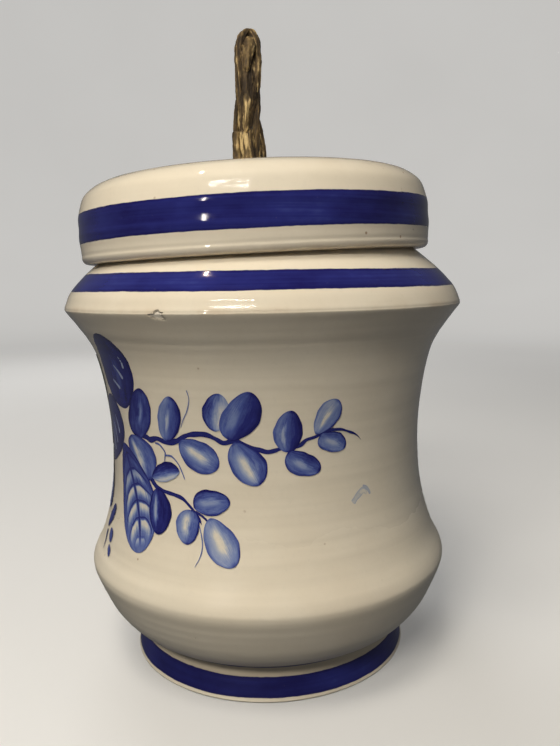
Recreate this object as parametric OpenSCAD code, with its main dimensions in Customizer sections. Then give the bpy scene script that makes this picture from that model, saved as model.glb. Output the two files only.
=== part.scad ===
// Apothecary jar: glazed earthenware jar with a lift-off lid and a cast twig handle.
// Millimetres. Z up, z = 0 is the plane that the foot ring stands on, and the painted
// front faces -Y. The handle's arch stands in the XZ plane.

/* [Part] */
// Sub-part to show
// Smoothness of round shapes
facets = 96; // [48:8:160]

/* [Jar body] */
// Radius of the sharp shoulder ridge, the widest place
ridge_r = 90; // [70:0.5:110]
// Height of the shoulder ridge above the table
ridge_z = 162.6; // [140:0.2:190]
// Radius of the waist at its narrowest
waist_r = 72.2; // [60:0.2:80]
// Radius of the rounded belly ridge
belly_r = 84; // [70:0.5:100]
// Height of the belly ridge
belly_z = 46.5; // [35:0.5:60]
// Outer radius of the foot on the table
foot_r = 64.8; // [50:0.2:80]
// Radius of the cove above the foot
cove_r = 61.4; // [50:0.2:75]
// Thickness of the thrown wall
wall = 7; // [4:0.5:12]
// Height of the inside floor
floor_z = 14; // [8:0.5:25]
// Radius of the hollow inside the foot ring
foot_hollow_r = 54; // [40:0.5:60]
// Depth of the hollow inside the foot ring
foot_hollow_h = 5; // [2:0.5:8]

/* [Neck and seat] */
// Outer radius of the neck
neck_r = 72; // [64:0.2:78]
// Radius of the mouth
mouth_r = 64.5; // [50:0.5:70]
// Height of the rim that the lid rests on
rim_z = 188; // [180:0.2:200]
// Side-to-side tilt of the rim and lid, hand-thrown and not quite level, degrees
seat_tilt = 1.95; // [0:0.05:4]
// Front-to-back lean of the rim and lid, degrees
seat_lean = 0.65; // [0:0.05:4]
// How far the rim and lid sit off the jar's axis
seat_shift = -2.1; // [-4:0.1:4]

/* [Lid] */
// Outer radius of the lid at its band
lid_r = 79.3; // [70:0.1:90]
// Height of the lid's lower edge
lid_edge_z = 184; // [180:0.2:190]
// Height of the lid's flat top, where the handle stands
lid_top_z = 220; // [216:0.2:226]
// Outer radius of the ring that drops into the mouth
spigot_r = 63; // [50:0.5:66]
// How far the ring reaches below the rim
spigot_depth = 11; // [6:0.5:20]
// Play between the rim and the lid's seat
seat_play = 0.2; // [0.1:0.05:0.5]

/* [Handle] */
// Distance between the two feet of the handle
foot_span = 68; // [50:1:90]
// Height of the top of the handle above the table
handle_top_z = 282.6; // [270:0.2:300]
// Lean of the handle towards the jar's back, in degrees
handle_lean = 2; // [0:0.1:4]
// Radius of the main branch
branch_r = 4.5; // [3:0.1:7]
// Radius of the thin vine that winds along the branch
vine_r = 2.3; // [1:0.1:4]
// Radius of the knot at each foot of the handle
handle_foot_r = 7; // [5:0.1:10]

/* [Fixings] */
// Radius of the threaded studs
stud_r = 2.5; // [1.5:0.5:4]
// Radius of the drilled holes in the lid
lid_hole_r = 3.4; // [2:0.1:5]
// Depth of the tapped holes in the handle's feet
tap_depth = 12; // [6:0.5:20]
// Play between a stud's thread and the parts screwed onto it
thread_play = 0.06; // [0:0.01:0.2]
// Outer radius of the soft washers
soft_r = 9; // [6:0.5:14]
// Thickness of the soft washers
soft_t = 1.6; // [0.5:0.1:3]
// Outer radius of the metal washers
washer_r = 7.5; // [5:0.5:12]
// Thickness of the metal washers
washer_t = 1.2; // [0.5:0.1:2]
// Width across the flats of the nuts
nut_flats = 8; // [5:0.5:14]
// Thickness of the nuts
nut_t = 4; // [2:0.5:8]

/* [Hidden] */
$fn = facets;
foot_x = foot_span / 2;
seat_z = rim_z + seat_play;
lid_ceiling_z = 213;
soft_z = lid_ceiling_z - soft_t;
metal_z = soft_z - washer_t;
nut_z = metal_z - nut_t;
stud_bottom = nut_z - 2;
stud_top = lid_top_z + tap_depth - 1;

// point at share t of the curve from b to c, with neighbours a and d
function knot(a, b, c, d, t) =
  0.5 * ((2 * b) + (c - a) * t + (2 * a - 5 * b + 4 * c - d) * t * t + (3 * b - a - 3 * c + d) * t * t * t);

// smooth line through the points p, n steps to a stretch
function smooth(p, n = 3) = let (m = len(p) - 1)
  [for (i = [0:m - 1], k = [0:n - 1])
     knot(p[max(i - 1, 0)], p[i], p[i + 1], p[min(i + 2, m)], k / n), p[m]];

// frame of the slightly crooked rim, which the lid and all it carries share
module seat() {
  translate([0, seat_shift, ridge_z]) rotate([seat_tilt, seat_lean, 0]) translate([0, 0, -ridge_z])
    children();
}

// ---- jar body ----

// radius and height of the outside wall, from the foot to the shoulder
foot_line = smooth([[foot_r - 0.8, 0], [foot_r, 0.9], [foot_r - 0.7, 2.4], [62, 9.8], [cove_r, 12.6],
  [cove_r + 2.5, 15.8]], 2);
wall_line = smooth([[cove_r + 2.5, 15.8], [69.6, 18.6], [76.3, 27], [81, 36], [belly_r - 0.6, 42.5],
  [belly_r, belly_z], [belly_r - 1.2, 50.5], [79.6, 57], [77, 64.8], [74.8, 73], [73, 84],
  [waist_r, 98], [72.4, 110], [73.6, 122], [75.4, 133], [78, 143], [81.6, 150]], 2);
ridge_line = smooth([[81.6, 150], [86.4, 156.8], [ridge_r - 0.3, ridge_z - 1.4], [ridge_r, ridge_z],
  [ridge_r - 0.5, ridge_z + 1.8], [87, 169.8], [80.6, 177], [74.5, 182.4], [neck_r - 1, 184]], 2);
inner_line = smooth([[0, floor_z], [40, floor_z + 0.3], [54, floor_z + 3], [66, 24], [74, 36],
  [belly_r - wall, belly_z], [73, 56], [68, 73], [waist_r - wall, 98], [66.4, 122], [72, 142],
  [79, 155], [81.6, ridge_z], [78, 169], [70, 176]], 2);

module jar_shell() {
  rotate_extrude() difference() {
    polygon(concat([[0, 0]], foot_line, wall_line, ridge_line, [[0, 184]]));
    square([foot_hollow_r, foot_hollow_h]);
    polygon(concat(inner_line, [[mouth_r - 3, 180], [mouth_r - 3, 185], [0, 185]]));
  }
}

module jar_body() {
  color([0.88, 0.85, 0.77]) difference() {
    union() {
      jar_shell();
      seat() translate([0, 0, 178]) cylinder(h = rim_z - 178, r = neck_r);
    }
    seat() {
      translate([0, 0, 170]) cylinder(h = rim_z - 168, r = mouth_r);
      // eased inner edge of the rim
      translate([0, 0, rim_z - 1.2]) cylinder(h = 1.4, r1 = mouth_r, r2 = mouth_r + 1.4);
    }
  }
}

// ---- lid ----

lid_line = smooth([[73.4, lid_edge_z + 1], [75, lid_edge_z], [77.4, lid_edge_z + 0.4], [78.7, 187],
  [lid_r, 193], [lid_r, 200], [lid_r - 0.5, 205.2], [77.6, 209.9], [75, 214], [70, lid_top_z - 2.6],
  [62, lid_top_z - 0.7], [50, lid_top_z]], 2);
hollow_line = smooth([[57, 176], [57, 190], [60, 196], [64.5, 202], [66, 206], [64, 210.5],
  [59, lid_ceiling_z]], 2);

module lid() {
  color([0.89, 0.86, 0.78]) seat() difference() {
    rotate_extrude() difference() {
      union() {
        polygon(concat([[0, lid_top_z], [0, seat_z], [73.2, seat_z]], lid_line));
        translate([0, seat_z - spigot_depth]) square([spigot_r, spigot_depth + 1]);
      }
      polygon(concat(hollow_line, [[0, lid_ceiling_z], [0, 176]]));
      // eased lower edge of the ring
      polygon([[spigot_r - 1.5, seat_z - spigot_depth], [spigot_r + 1, seat_z - spigot_depth],
        [spigot_r + 1, seat_z - spigot_depth + 2.5]]);
    }
    for (s = [-1, 1]) translate([s * foot_x, 0, 200]) cylinder(h = 30, r = lid_hole_r, $fn = 48);
  }
}

// ---- twig handle ----

// middle of the arch, level with the tops of its two legs
arch_z = handle_top_z - branch_r - foot_x;

// round bar from point a to point b, tapering from ra to rb
module bar(a, b, ra, rb) {
  d = b - a;
  translate(a) rotate([0, acos(d[2] / norm(d)), atan2(d[1], d[0])])
    cylinder(h = norm(d), r1 = ra, r2 = rb, $fn = 32);
}

// bent bar of radius r round the arch's middle, from angle a0 to angle a1
module bend(big, r, a0, a1, y = 0, z = 0) {
  translate([0, y, arch_z + z]) rotate([90, 0, 0]) rotate([0, 0, a0])
    rotate_extrude(angle = a1 - a0, $fn = 72) translate([big, 0]) circle(r, $fn = 32);
}

// swelling in the branch at angle a of the arch
module swelling(a, r, out = 0, y = 0) {
  translate([(foot_x + out) * cos(a), y, arch_z + (foot_x + out) * sin(a)]) sphere(r, $fn = 32);
}

module branch() {
  translate([0, 0, lid_top_z]) rotate([-handle_lean, 0, 0]) translate([0, 0, -lid_top_z]) {
    bend(foot_x, branch_r, 0, 180);
    // the two legs, thicker towards the lid
    for (s = [-1, 1]) translate([s * foot_x, 0, lid_top_z + 3])
      cylinder(h = arch_z - lid_top_z - 3, r1 = branch_r + 1, r2 = branch_r, $fn = 32);
    // knots along the branch
    swelling(4, branch_r + 0.9);
    swelling(58, branch_r + 0.7, 0.5, 0.4);
    swelling(97, branch_r + 0.5, 0.1, -0.5);
    swelling(131, branch_r + 0.8, 0.4, 0.3);
    swelling(178, branch_r + 0.8);
    // thin vine crossing from one side of the branch to the other
    bend(foot_x - 1.2, vine_r, 12, 52, branch_r - 0.9, -2);
    bend(foot_x + 1.4, vine_r, 66, 118, 0.9 - branch_r, 0.4);
    bend(foot_x - 1.1, vine_r, 128, 170, branch_r - 0.8, -1.5);
    bar([foot_x - 0.6, 0.6 - branch_r, lid_top_z + 7], [foot_x + 0.9, 0.3 - branch_r, arch_z + 1], vine_r + 0.2, vine_r);
    bar([0.5 - foot_x, branch_r - 0.7, lid_top_z + 6], [-0.9 - foot_x, 0.8 - branch_r, arch_z - 3], vine_r, vine_r - 0.3);
    // cut side twigs
    bar([-26, 1, arch_z + 22], [-35.5, 3, arch_z + 28], 2.7, 2.1);
    bar([24, -1, arch_z + 25], [30.5, -3.2, arch_z + 33], 2.5, 1.9);
  }
}

module handle() {
  color([0.45, 0.34, 0.16]) seat() difference() {
    union() {
      branch();
      // spread foot under each leg, flat on the lid
      for (s = [-1, 1]) translate([s * foot_x, 0, lid_top_z])
        cylinder(h = 9, r1 = handle_foot_r, r2 = branch_r - 0.5, $fn = 32);
    }
    for (s = [-1, 1]) translate([s * foot_x, 0, lid_top_z - 1])
      cylinder(h = tap_depth + 1, r = stud_r + thread_play, $fn = 48);
  }
}

// ---- fixings inside the lid ----

module fixing_at(s) {
  seat() translate([s * foot_x, 0, 0]) children();
}

module ring(z, t, r_out, r_in) {
  translate([0, 0, z]) difference() {
    cylinder(h = t, r = r_out, $fn = 48);
    translate([0, 0, -1]) cylinder(h = t + 2, r = r_in, $fn = 48);
  }
}

module stud(s) {
  color([0.72, 0.6, 0.32]) fixing_at(s) {
    translate([0, 0, stud_bottom + 0.6]) cylinder(h = stud_top - stud_bottom - 1.2, r = stud_r, $fn = 48);
    translate([0, 0, stud_bottom]) cylinder(h = 0.6, r1 = stud_r - 0.6, r2 = stud_r, $fn = 48);
    translate([0, 0, stud_top - 0.6]) cylinder(h = 0.6, r1 = stud_r, r2 = stud_r - 0.6, $fn = 48);
  }
}

module soft_washer(s) {
  color([0.5, 0.2, 0.14]) fixing_at(s) ring(soft_z, soft_t, soft_r, stud_r + 0.3);
}

module washer(s) {
  color([0.74, 0.62, 0.34]) fixing_at(s) ring(metal_z, washer_t, washer_r, stud_r + 0.25);
}

module nut(s) {
  corner = nut_flats / 2 / cos(30);
  color([0.74, 0.62, 0.34]) fixing_at(s) translate([0, 0, nut_z]) difference() {
    intersection() {
      cylinder(h = nut_t, r = corner, $fn = 6);
      cylinder(h = nut_t, r1 = corner - 0.7, r2 = corner - 0.7 + nut_t * 1.7, $fn = 48);
    }
    translate([0, 0, -1]) cylinder(h = nut_t + 2, r = stud_r + thread_play, $fn = 48);
  }
}

module stud_left() stud(-1);
module stud_right() stud(1);
module soft_washer_left() soft_washer(-1);
module soft_washer_right() soft_washer(1);
module washer_left() washer(-1);
module washer_right() washer(1);
module nut_left() nut(-1);
module nut_right() nut(1);

jar_body();
lid();
handle();
stud_left();
stud_right();
soft_washer_left();
soft_washer_right();
washer_left();
washer_right();
nut_left();
nut_right();
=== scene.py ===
import math
from functools import partial

import bpy
import numpy as np
from mathutils import Matrix, Vector, noise


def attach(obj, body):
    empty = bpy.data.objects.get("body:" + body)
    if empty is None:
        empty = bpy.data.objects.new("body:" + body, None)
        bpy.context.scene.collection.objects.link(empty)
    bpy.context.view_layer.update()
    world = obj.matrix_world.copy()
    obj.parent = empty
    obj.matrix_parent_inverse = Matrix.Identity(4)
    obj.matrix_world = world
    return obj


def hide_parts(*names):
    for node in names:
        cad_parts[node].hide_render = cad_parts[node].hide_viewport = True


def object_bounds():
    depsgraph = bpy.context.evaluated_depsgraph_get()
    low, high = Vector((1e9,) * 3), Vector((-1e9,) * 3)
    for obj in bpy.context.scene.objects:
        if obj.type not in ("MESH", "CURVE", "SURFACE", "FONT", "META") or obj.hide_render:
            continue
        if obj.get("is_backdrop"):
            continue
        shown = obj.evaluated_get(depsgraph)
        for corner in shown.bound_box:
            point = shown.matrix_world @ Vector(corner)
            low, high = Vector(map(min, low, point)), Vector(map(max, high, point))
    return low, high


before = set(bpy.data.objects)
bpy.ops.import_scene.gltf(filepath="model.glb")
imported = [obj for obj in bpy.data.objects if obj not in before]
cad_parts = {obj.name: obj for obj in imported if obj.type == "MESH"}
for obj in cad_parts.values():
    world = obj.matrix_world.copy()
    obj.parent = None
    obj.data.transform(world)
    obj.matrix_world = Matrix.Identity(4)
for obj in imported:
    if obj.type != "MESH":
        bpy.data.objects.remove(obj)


def as_lists(b):
    if isinstance(b, dict):
        return {k: as_lists(v) for k, v in b.items()}
    return [as_lists(v) if hasattr(v, "__len__") else float(v) for v in b]


cad_box = as_lists(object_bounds())
MM = 0.001

# ---------------------------------------------------------------- shape of the jar, in mm

RIDGE_Z = 162.6                    # sharp ridge of the shoulder
RIM_Z = 188.0                      # rim that the lid rests on
SEAT_TILT, SEAT_LEAN = 1.95, 0.65  # degrees that the rim and the lid tilt sideways and lean back
SEAT_SHIFT = -2.1                  # how far the rim and the lid sit off the jar's axis
PAD_Z = 220.0                      # flat top of the lid, where the handle stands
LID_CEILING = 213.0                # top of the hollow in the lid
FOOT_X = 34.0                      # the handle's feet, from the middle
HANDLE_TOP, BRANCH_R = 282.6, 4.5
ARCH_Z = HANDLE_TOP - BRANCH_R - FOOT_X
HANDLE_LEAN = 2                    # degrees, towards +Y
COLUMNS = 288                      # faces round the jar and the lid
INSIDE = -50                       # profile mark of the rows that no band is painted on


def catmull(points, n):
    """Smooth line through points, n steps to a stretch."""
    p = np.array(points, float)
    m = len(p) - 1
    out = []
    for i in range(m):
        a, b, c, d = p[max(i - 1, 0)], p[i], p[i + 1], p[min(i + 2, m)]
        for k in range(n):
            t = k / n
            out.append(0.5 * (2 * b + (c - a) * t + (2 * a - 5 * b + 4 * c - d) * t * t
                              + (3 * b - a - 3 * c + d) * t ** 3))
    out.append(p[m])
    return np.array(out)


FOOT = [[64.0, 0], [64.8, 0.9], [64.1, 2.4], [62, 9.8], [61.2, 13.4], [63.6, 16.8]]
WALL = [[63.6, 16.8], [69.6, 19.6], [76.3, 27.4], [80.4, 35.8], [83.3, 43], [84, 46], [83.8, 48.2],
        [82.6, 51.4], [79.6, 57.2], [77, 64.8], [74.8, 73], [73, 84], [72.2, 98], [72.4, 110], [73.6, 122],
        [75.4, 133], [78, 143], [81.6, 150]]
RIDGE = [[81.6, 150], [86.4, 156.8], [89.7, 161.2], [90, 162.6], [89.5, 164.4], [87, 169.8],
         [80.6, 177], [74.5, 182.4]]
INNER = [[0, 14], [40, 14.3], [54, 17], [66, 24], [74, 36], [77, 46.5], [73, 56], [68, 73],
         [65.2, 98], [66.4, 122], [72, 142], [79, 155], [81.6, 162.6], [78, 169], [70, 176]]

outer_line = np.vstack([catmull(FOOT, 6)[:-1], catmull(WALL, 6)[:-1], catmull(RIDGE, 8)])


def wall_r(z):
    """Radius of the jar's outside at a height, in mm."""
    return np.interp(z, outer_line[:, 1], outer_line[:, 0])


def thrown(theta, z):
    """How far the hand-thrown wall stands off a true round, in mm."""
    soft = np.clip((np.asarray(z) - 14) / 10, 0, 1) * np.clip((180 - np.asarray(z)) / 10, 0, 1)
    spiral = 2 * np.pi * z / 4.6 + theta
    rings = 0.034 * np.sin(spiral) * (0.6 + 0.4 * np.sin(z / 17.0 + 2 * theta + 1))
    lumps = 0.16 * np.sin(2 * theta + z / 60 + 0.7) + 0.09 * np.sin(3 * theta - z / 43 + 2.1)
    return (rings + lumps) * soft


def seat_matrix():
    """The crooked frame that the rim, the lid and the handle share."""
    t = Matrix.Translation((0, SEAT_SHIFT * MM, RIDGE_Z * MM))
    r = Matrix.Rotation(math.radians(SEAT_LEAN), 4, "Y") @ Matrix.Rotation(math.radians(SEAT_TILT), 4, "X")
    return t @ r @ Matrix.Translation((0, 0, -RIDGE_Z * MM))


SEAT = seat_matrix()
SEAT_NP = np.array(SEAT)


def seated(p):
    """Points in mm in the lid's own frame, as metres in the row frame."""
    q = np.asarray(p, float) * MM
    return q @ SEAT_NP[:3, :3].T + SEAT_NP[:3, 3]


def mesh_object(name, verts, faces, body, attributes):
    """A smooth mesh that rides on a body; attributes hold a number or a vector for each point."""
    me = bpy.data.meshes.new(name)
    me.from_pydata([tuple(v) for v in verts], [], [tuple(f) for f in faces])
    me.validate()
    me.polygons.foreach_set("use_smooth", [True] * len(me.polygons))
    for key, values in attributes.items():
        values = np.asarray(values, np.float32)
        if values.ndim == 1:
            me.attributes.new(key, "FLOAT", "POINT").data.foreach_set("value", values)
        else:
            me.attributes.new(key, "FLOAT_VECTOR", "POINT").data.foreach_set("vector", values.ravel())
    me.update()
    ob = bpy.data.objects.new(name, me)
    bpy.context.scene.collection.objects.link(ob)
    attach(ob, body)
    return ob


def turned(rows, columns, close_start=False, close_end=False):
    """Faces of a turned grid, rows by columns, wrapped round; optional single points at its ends."""
    faces = []
    for i in range(rows - 1):
        a, b = i * columns, (i + 1) * columns
        for j in range(columns):
            k = (j + 1) % columns
            faces.append((a + j, a + k, b + k, b + j))
    n = rows * columns
    if close_start:
        faces += [(n, (j + 1) % columns, j) for j in range(columns)]
        n += 1
    if close_end:
        top = (rows - 1) * columns
        faces += [(n, top + j, top + (j + 1) % columns) for j in range(columns)]
    return faces


def per_point(values, shape, ends=(0, 0)):
    """One number for each point of a turned grid, then those of its two end points."""
    return np.concatenate([np.broadcast_to(values, shape).ravel(), ends])


def wear(z, middle, spread):
    """Wear that is full at one height, in mm, and fades within about the spread above and below."""
    return math.exp(-((z - middle) / spread) ** 2)


# ---------------------------------------------------------------- shader helper

class Nodes:
    """Short way to write a node tree."""

    def __init__(self, name):
        self.mat = bpy.data.materials.new(name)
        self.mat.use_nodes = True
        self.tree = self.mat.node_tree
        self.tree.nodes.clear()
        out = self.tree.nodes.new("ShaderNodeOutputMaterial")
        self.bsdf = self.tree.nodes.new("ShaderNodeBsdfPrincipled")
        self.link(self.bsdf.outputs[0], out.inputs[0])

    def link(self, a, b):
        self.tree.links.new(a, b)

    def put(self, socket, value):
        if isinstance(value, bpy.types.NodeSocket):
            self.link(value, socket)
        elif isinstance(value, (tuple, list)) and len(value) == 3 and socket.type == "RGBA":
            socket.default_value = (*value, 1)
        else:
            socket.default_value = value

    def math(self, op, a, b=None, c=None, clamp=False):
        n = self.tree.nodes.new("ShaderNodeMath")
        n.operation = op
        n.use_clamp = clamp
        for i, v in enumerate((a, b, c)):
            if v is not None:
                self.put(n.inputs[i], v)
        return n.outputs[0]

    def add(self, a, b):
        return self.math("ADD", a, b)

    def sub(self, a, b):
        return self.math("SUBTRACT", a, b)

    def mul(self, a, b):
        return self.math("MULTIPLY", a, b)

    def mad(self, a, b, c):
        return self.math("MULTIPLY_ADD", a, b, c)

    def step(self, x, lo, hi, out_lo=0.0, out_hi=1.0):
        """Smooth step from out_lo at x = lo to out_hi at x = hi; lo may be the larger."""
        n = self.tree.nodes.new("ShaderNodeMapRange")
        n.interpolation_type = "SMOOTHSTEP"
        self.put(n.inputs["Value"], x)
        self.put(n.inputs["From Min"], lo)
        self.put(n.inputs["From Max"], hi)
        self.put(n.inputs["To Min"], out_lo)
        self.put(n.inputs["To Max"], out_hi)
        return n.outputs[0]

    def mix(self, f, a, b):
        n = self.tree.nodes.new("ShaderNodeMix")
        n.data_type = "RGBA"
        self.put(n.inputs[0], f)
        self.put(n.inputs[6], a)
        self.put(n.inputs[7], b)
        return n.outputs[2]

    def ramp(self, x, stops):
        n = self.tree.nodes.new("ShaderNodeValToRGB")
        e = n.color_ramp.elements
        while len(e) < len(stops):
            e.new(0.5)
        for i, (pos, col) in enumerate(stops):
            e[i].position = pos
            e[i].color = (*col, 1)
        self.put(n.inputs[0], x)
        return n.outputs[0]

    def attr(self, name, out="Fac"):
        n = self.tree.nodes.new("ShaderNodeAttribute")
        n.attribute_name = name
        return n.outputs[out]

    def xyz(self, v):
        n = self.tree.nodes.new("ShaderNodeSeparateXYZ")
        self.link(v, n.inputs[0])
        return n.outputs

    def vec(self, x, y, z):
        n = self.tree.nodes.new("ShaderNodeCombineXYZ")
        for i, v in enumerate((x, y, z)):
            self.put(n.inputs[i], v)
        return n.outputs[0]

    def surface(self, colour, rough, normal):
        self.put(self.bsdf.inputs["Base Color"], colour)
        self.put(self.bsdf.inputs["Roughness"], rough)
        self.put(self.bsdf.inputs["Normal"], normal)

    def coord(self):
        return self.tree.nodes.new("ShaderNodeTexCoord").outputs["Object"]

    def scaled(self, v, s):
        n = self.tree.nodes.new("ShaderNodeVectorMath")
        n.operation = "MULTIPLY"
        self.put(n.inputs[0], v)
        self.put(n.inputs[1], s)
        return n.outputs[0]

    def noise(self, v, scale, detail, rough):
        n = self.tree.nodes.new("ShaderNodeTexNoise")
        self.put(n.inputs["Vector"], v)
        n.inputs["Scale"].default_value = scale
        n.inputs["Detail"].default_value = detail
        n.inputs["Roughness"].default_value = rough
        return n.outputs["Fac"]

    def voronoi(self, v, scale):
        """Distance to the nearest of a scatter of points."""
        n = self.tree.nodes.new("ShaderNodeTexVoronoi")
        self.put(n.inputs["Vector"], v)
        n.inputs["Scale"].default_value = scale
        return n.outputs["Distance"]

    def bump(self, height, strength, distance, normal=None):
        n = self.tree.nodes.new("ShaderNodeBump")
        n.inputs["Strength"].default_value = strength
        n.inputs["Distance"].default_value = distance
        self.put(n.inputs["Height"], height)
        if normal is not None:
            self.link(normal, n.inputs["Normal"])
        return n.outputs[0]


def glaze_base(n):
    """Cream tin glaze: colour, roughness and surface normal, the same on every painted piece."""
    co = n.coord()
    broad = n.noise(co, 9, 3, 0.55)
    mottle = n.noise(co, 55, 5, 0.6)
    fine = n.noise(co, 420, 3, 0.6)
    cream = n.ramp(broad, [(0.3, (0.715, 0.625, 0.485)), (0.52, (0.765, 0.68, 0.535)),
                           (0.74, (0.735, 0.67, 0.55))])
    cream = n.mix(n.step(mottle, 0.35, 0.7, 0, 0.35), cream, (0.8, 0.725, 0.59))
    cream = n.mix(n.step(fine, 0.52, 0.78, 0, 0.16), cream, (0.62, 0.56, 0.44))
    # faint rings of thicker and thinner glaze, following the thrower's rings
    streak = n.noise(n.scaled(co, (5, 5, 210)), 1, 4, 0.6)
    cream = n.mix(n.step(streak, 0.4, 0.68, 0, 0.22), cream, (0.62, 0.55, 0.43))
    # rust-brown iron specks and pinholes, sparse
    cell = n.voronoi(co, 170)
    rare = n.noise(co, 31, 2, 0.5)
    speck = n.mul(n.step(cell, 0.05, 0.13, 1, 0), n.step(rare, 0.6, 0.66))
    cream = n.mix(n.mul(speck, 0.75), cream, (0.3, 0.17, 0.08))
    pit_cell = n.voronoi(n.scaled(co, (1.07, 0.93, 1)), 96)
    pit_rare = n.noise(co, 24, 2, 0.5)
    pit = n.mul(n.step(pit_cell, 0.02, 0.06, 1, 0), n.step(pit_rare, 0.57, 0.61))
    cream = n.mix(n.mul(pit, 0.6), cream, (0.36, 0.28, 0.19))
    # throwing rings under the glaze: bands along z, wandering a little
    z = n.xyz(co)[2]
    wander = n.noise(co, 14, 2, 0.5)
    ring = n.math("SINE", n.mad(z, 1650, n.mul(wander, 14)))
    ring2 = n.math("SINE", n.mad(z, 640, n.mul(wander, 7)))
    peel = n.noise(co, 190, 3, 0.55)
    wash = n.noise(co, 38, 3, 0.5)
    height = n.mad(ring, 0.05, n.mad(ring2, 0.16, n.mad(peel, 0.22, n.mad(wash, 1.3, n.mul(pit, -1.6)))))
    normal = n.bump(height, 0.28, 0.0006)
    # the glaze is duller low on the belly
    low = n.step(z, 0.1, 0.06)
    rough = n.mad(low, 0.28, n.step(n.noise(co, 27, 4, 0.65), 0.3, 0.75, 0.04, 0.1))
    return co, cream, rough, normal


# cobalt over cream, from a thin wash to full strength
COBALT = [(0.0, (0.58, 0.565, 0.5)), (0.2, (0.4, 0.43, 0.51)), (0.42, (0.19, 0.245, 0.44)),
          (0.64, (0.07, 0.1, 0.315)), (0.84, (0.02, 0.024, 0.17)), (1.0, (0.009, 0.008, 0.092))]


def finish_glaze(n, colour, rough, normal, bare=None):
    """Join a glaze to its shader, with bare fired clay where bare is 1."""
    if bare is not None:
        co = n.coord()
        grit = n.noise(co, 900, 4, 0.7)
        clay = n.mix(n.step(grit, 0.35, 0.7), (0.52, 0.34, 0.21), (0.64, 0.46, 0.31))
        clay = n.mix(n.step(n.noise(co, 40, 4, 0.6), 0.5, 0.8, 0, 0.5), clay, (0.33, 0.24, 0.17))
        colour = n.mix(bare, colour, clay)
        rough = n.math("MAXIMUM", rough, n.mul(bare, 0.85))
        normal = n.bump(n.mul(grit, bare), 0.35, 0.0004, normal)
    n.surface(colour, rough, normal)
    n.bsdf.inputs["IOR"].default_value = 1.47
    # the clear skin of the glaze is thin low on the belly
    n.put(n.bsdf.inputs["Coat Weight"], n.step(n.xyz(n.coord())[2], 0.06, 0.1, 0, 0.2))
    n.bsdf.inputs["Coat Roughness"].default_value = 0.03
    return n.mat


def band_paint(n, co, height, low, high, colour, rough):
    """A cobalt band laid on the turning pot with a loaded brush, between two heights in mm."""
    edge_low = n.sub(n.noise(n.scaled(co, (1, 1, 0.3)), 26, 3, 0.6), 0.5)
    edge_high = n.sub(n.noise(n.scaled(co, (1, 1, 0.3)), 31, 3, 0.6), 0.5)
    fray = n.mul(n.sub(n.noise(co, 260, 2, 0.6), 0.5), 0.35)
    a = n.sub(height, n.add(n.mad(edge_low, 0.9, low), fray))
    b = n.sub(n.add(n.mad(edge_high, 0.9, high), fray), height)
    inside = n.mul(n.step(a, -0.12, 0.16), n.step(b, -0.12, 0.16))
    pool = n.math("MAXIMUM", n.step(a, 0.1, 1.3, 1, 0), n.step(b, 0.1, 1.1, 1, 0))
    # horizontal brush hairs, long lapping patches, and thin spots where the brush ran dry
    hairs = n.noise(n.scaled(co, (9, 9, 900)), 1, 5, 0.62)
    laps = n.noise(n.scaled(co, (26, 26, 50)), 1, 4, 0.6)
    thin = n.noise(n.scaled(co, (60, 60, 150)), 1, 3, 0.6)
    d = n.mad(n.sub(hairs, 0.5), 0.26, n.mad(n.sub(laps, 0.5), 0.42, n.mad(n.sub(thin, 0.5), 0.16, 0.9)))
    d = n.math("ADD", d, n.mul(pool, 0.1), clamp=True)
    blue = n.ramp(d, COBALT)
    colour = n.mix(inside, colour, blue)
    rough = n.mad(n.mul(inside, n.step(hairs, 0.3, 0.7)), 0.05, rough)
    return colour, rough


def jar_material(name, bands):
    """Cream glaze with cobalt bands, worn edges, chips and bare clay where the mesh marks them."""
    n = Nodes(name)
    co, colour, rough, normal = glaze_base(n)
    height = n.attr("profile")
    worn = n.mul(n.attr("edge"), n.step(n.noise(co, 70, 4, 0.65), 0.38, 0.72))
    colour = n.mix(n.mul(worn, 0.55), colour, (0.6, 0.47, 0.33))
    # painted shade: the collar over the foot is darkened for the shade under the belly, and a painted
    # reflection of the foot's blue band runs as a dark blue hair in its crease
    collar_shade = n.mul(n.step(height, 8, 10), n.step(height, 16.5, 13.5))
    colour = n.mix(n.mul(collar_shade, 0.55), colour, (0.34, 0.27, 0.18))
    # painted reflection: the dark blue hair in the crease stands for the blue foot band mirrored in the
    # glossy glaze
    crease_reflection = n.step(n.math("ABSOLUTE", n.sub(height, 14.4)), 0.75, 0.2)
    crease_reflection = n.mul(crease_reflection, n.step(n.noise(co, 45, 3, 0.6), 0.25, 0.6, 0.35, 0.9))
    colour = n.mix(crease_reflection, colour, (0.045, 0.05, 0.17))
    for low, high in bands:
        colour, rough = band_paint(n, co, height, low, high, colour, rough)
    # a chip: a dirty edge round fresh pale clay
    mark = n.attr("chip")
    flake = n.mad(n.sub(n.noise(co, 700, 4, 0.7), 0.5), 0.9, mark)
    colour = n.mix(n.step(flake, 0.12, 0.5, 0, 0.8), colour, (0.24, 0.2, 0.15))
    colour = n.mix(n.step(flake, 0.4, 0.75), colour, (0.74, 0.67, 0.56))
    rough = n.math("MAXIMUM", rough, n.mul(mark, 0.75))
    return finish_glaze(n, colour, rough, normal, n.attr("bare"))


# ---------------------------------------------------------------- jar body mesh

CHIP_A, CHIP_Z = 64.9, 161.6       # degrees round from the front, height in mm
CHIP_HALF = (2.7, 1.5)             # half its width and half its height in mm
CHIP_R = 89.0                      # radius of the ridge where the chip is

# radius and height of the hollow and the face of the foot ring
FOOT_HOLLOW = ((0.5, 5), (20, 5), (38, 5), (50, 5), (53.2, 4.7), (54, 3.9), (54.2, 2), (54.5, 0.5),
               (55, 0.12), (56, 0), (59, 0), (62, 0), (63.2, 0))

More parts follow.
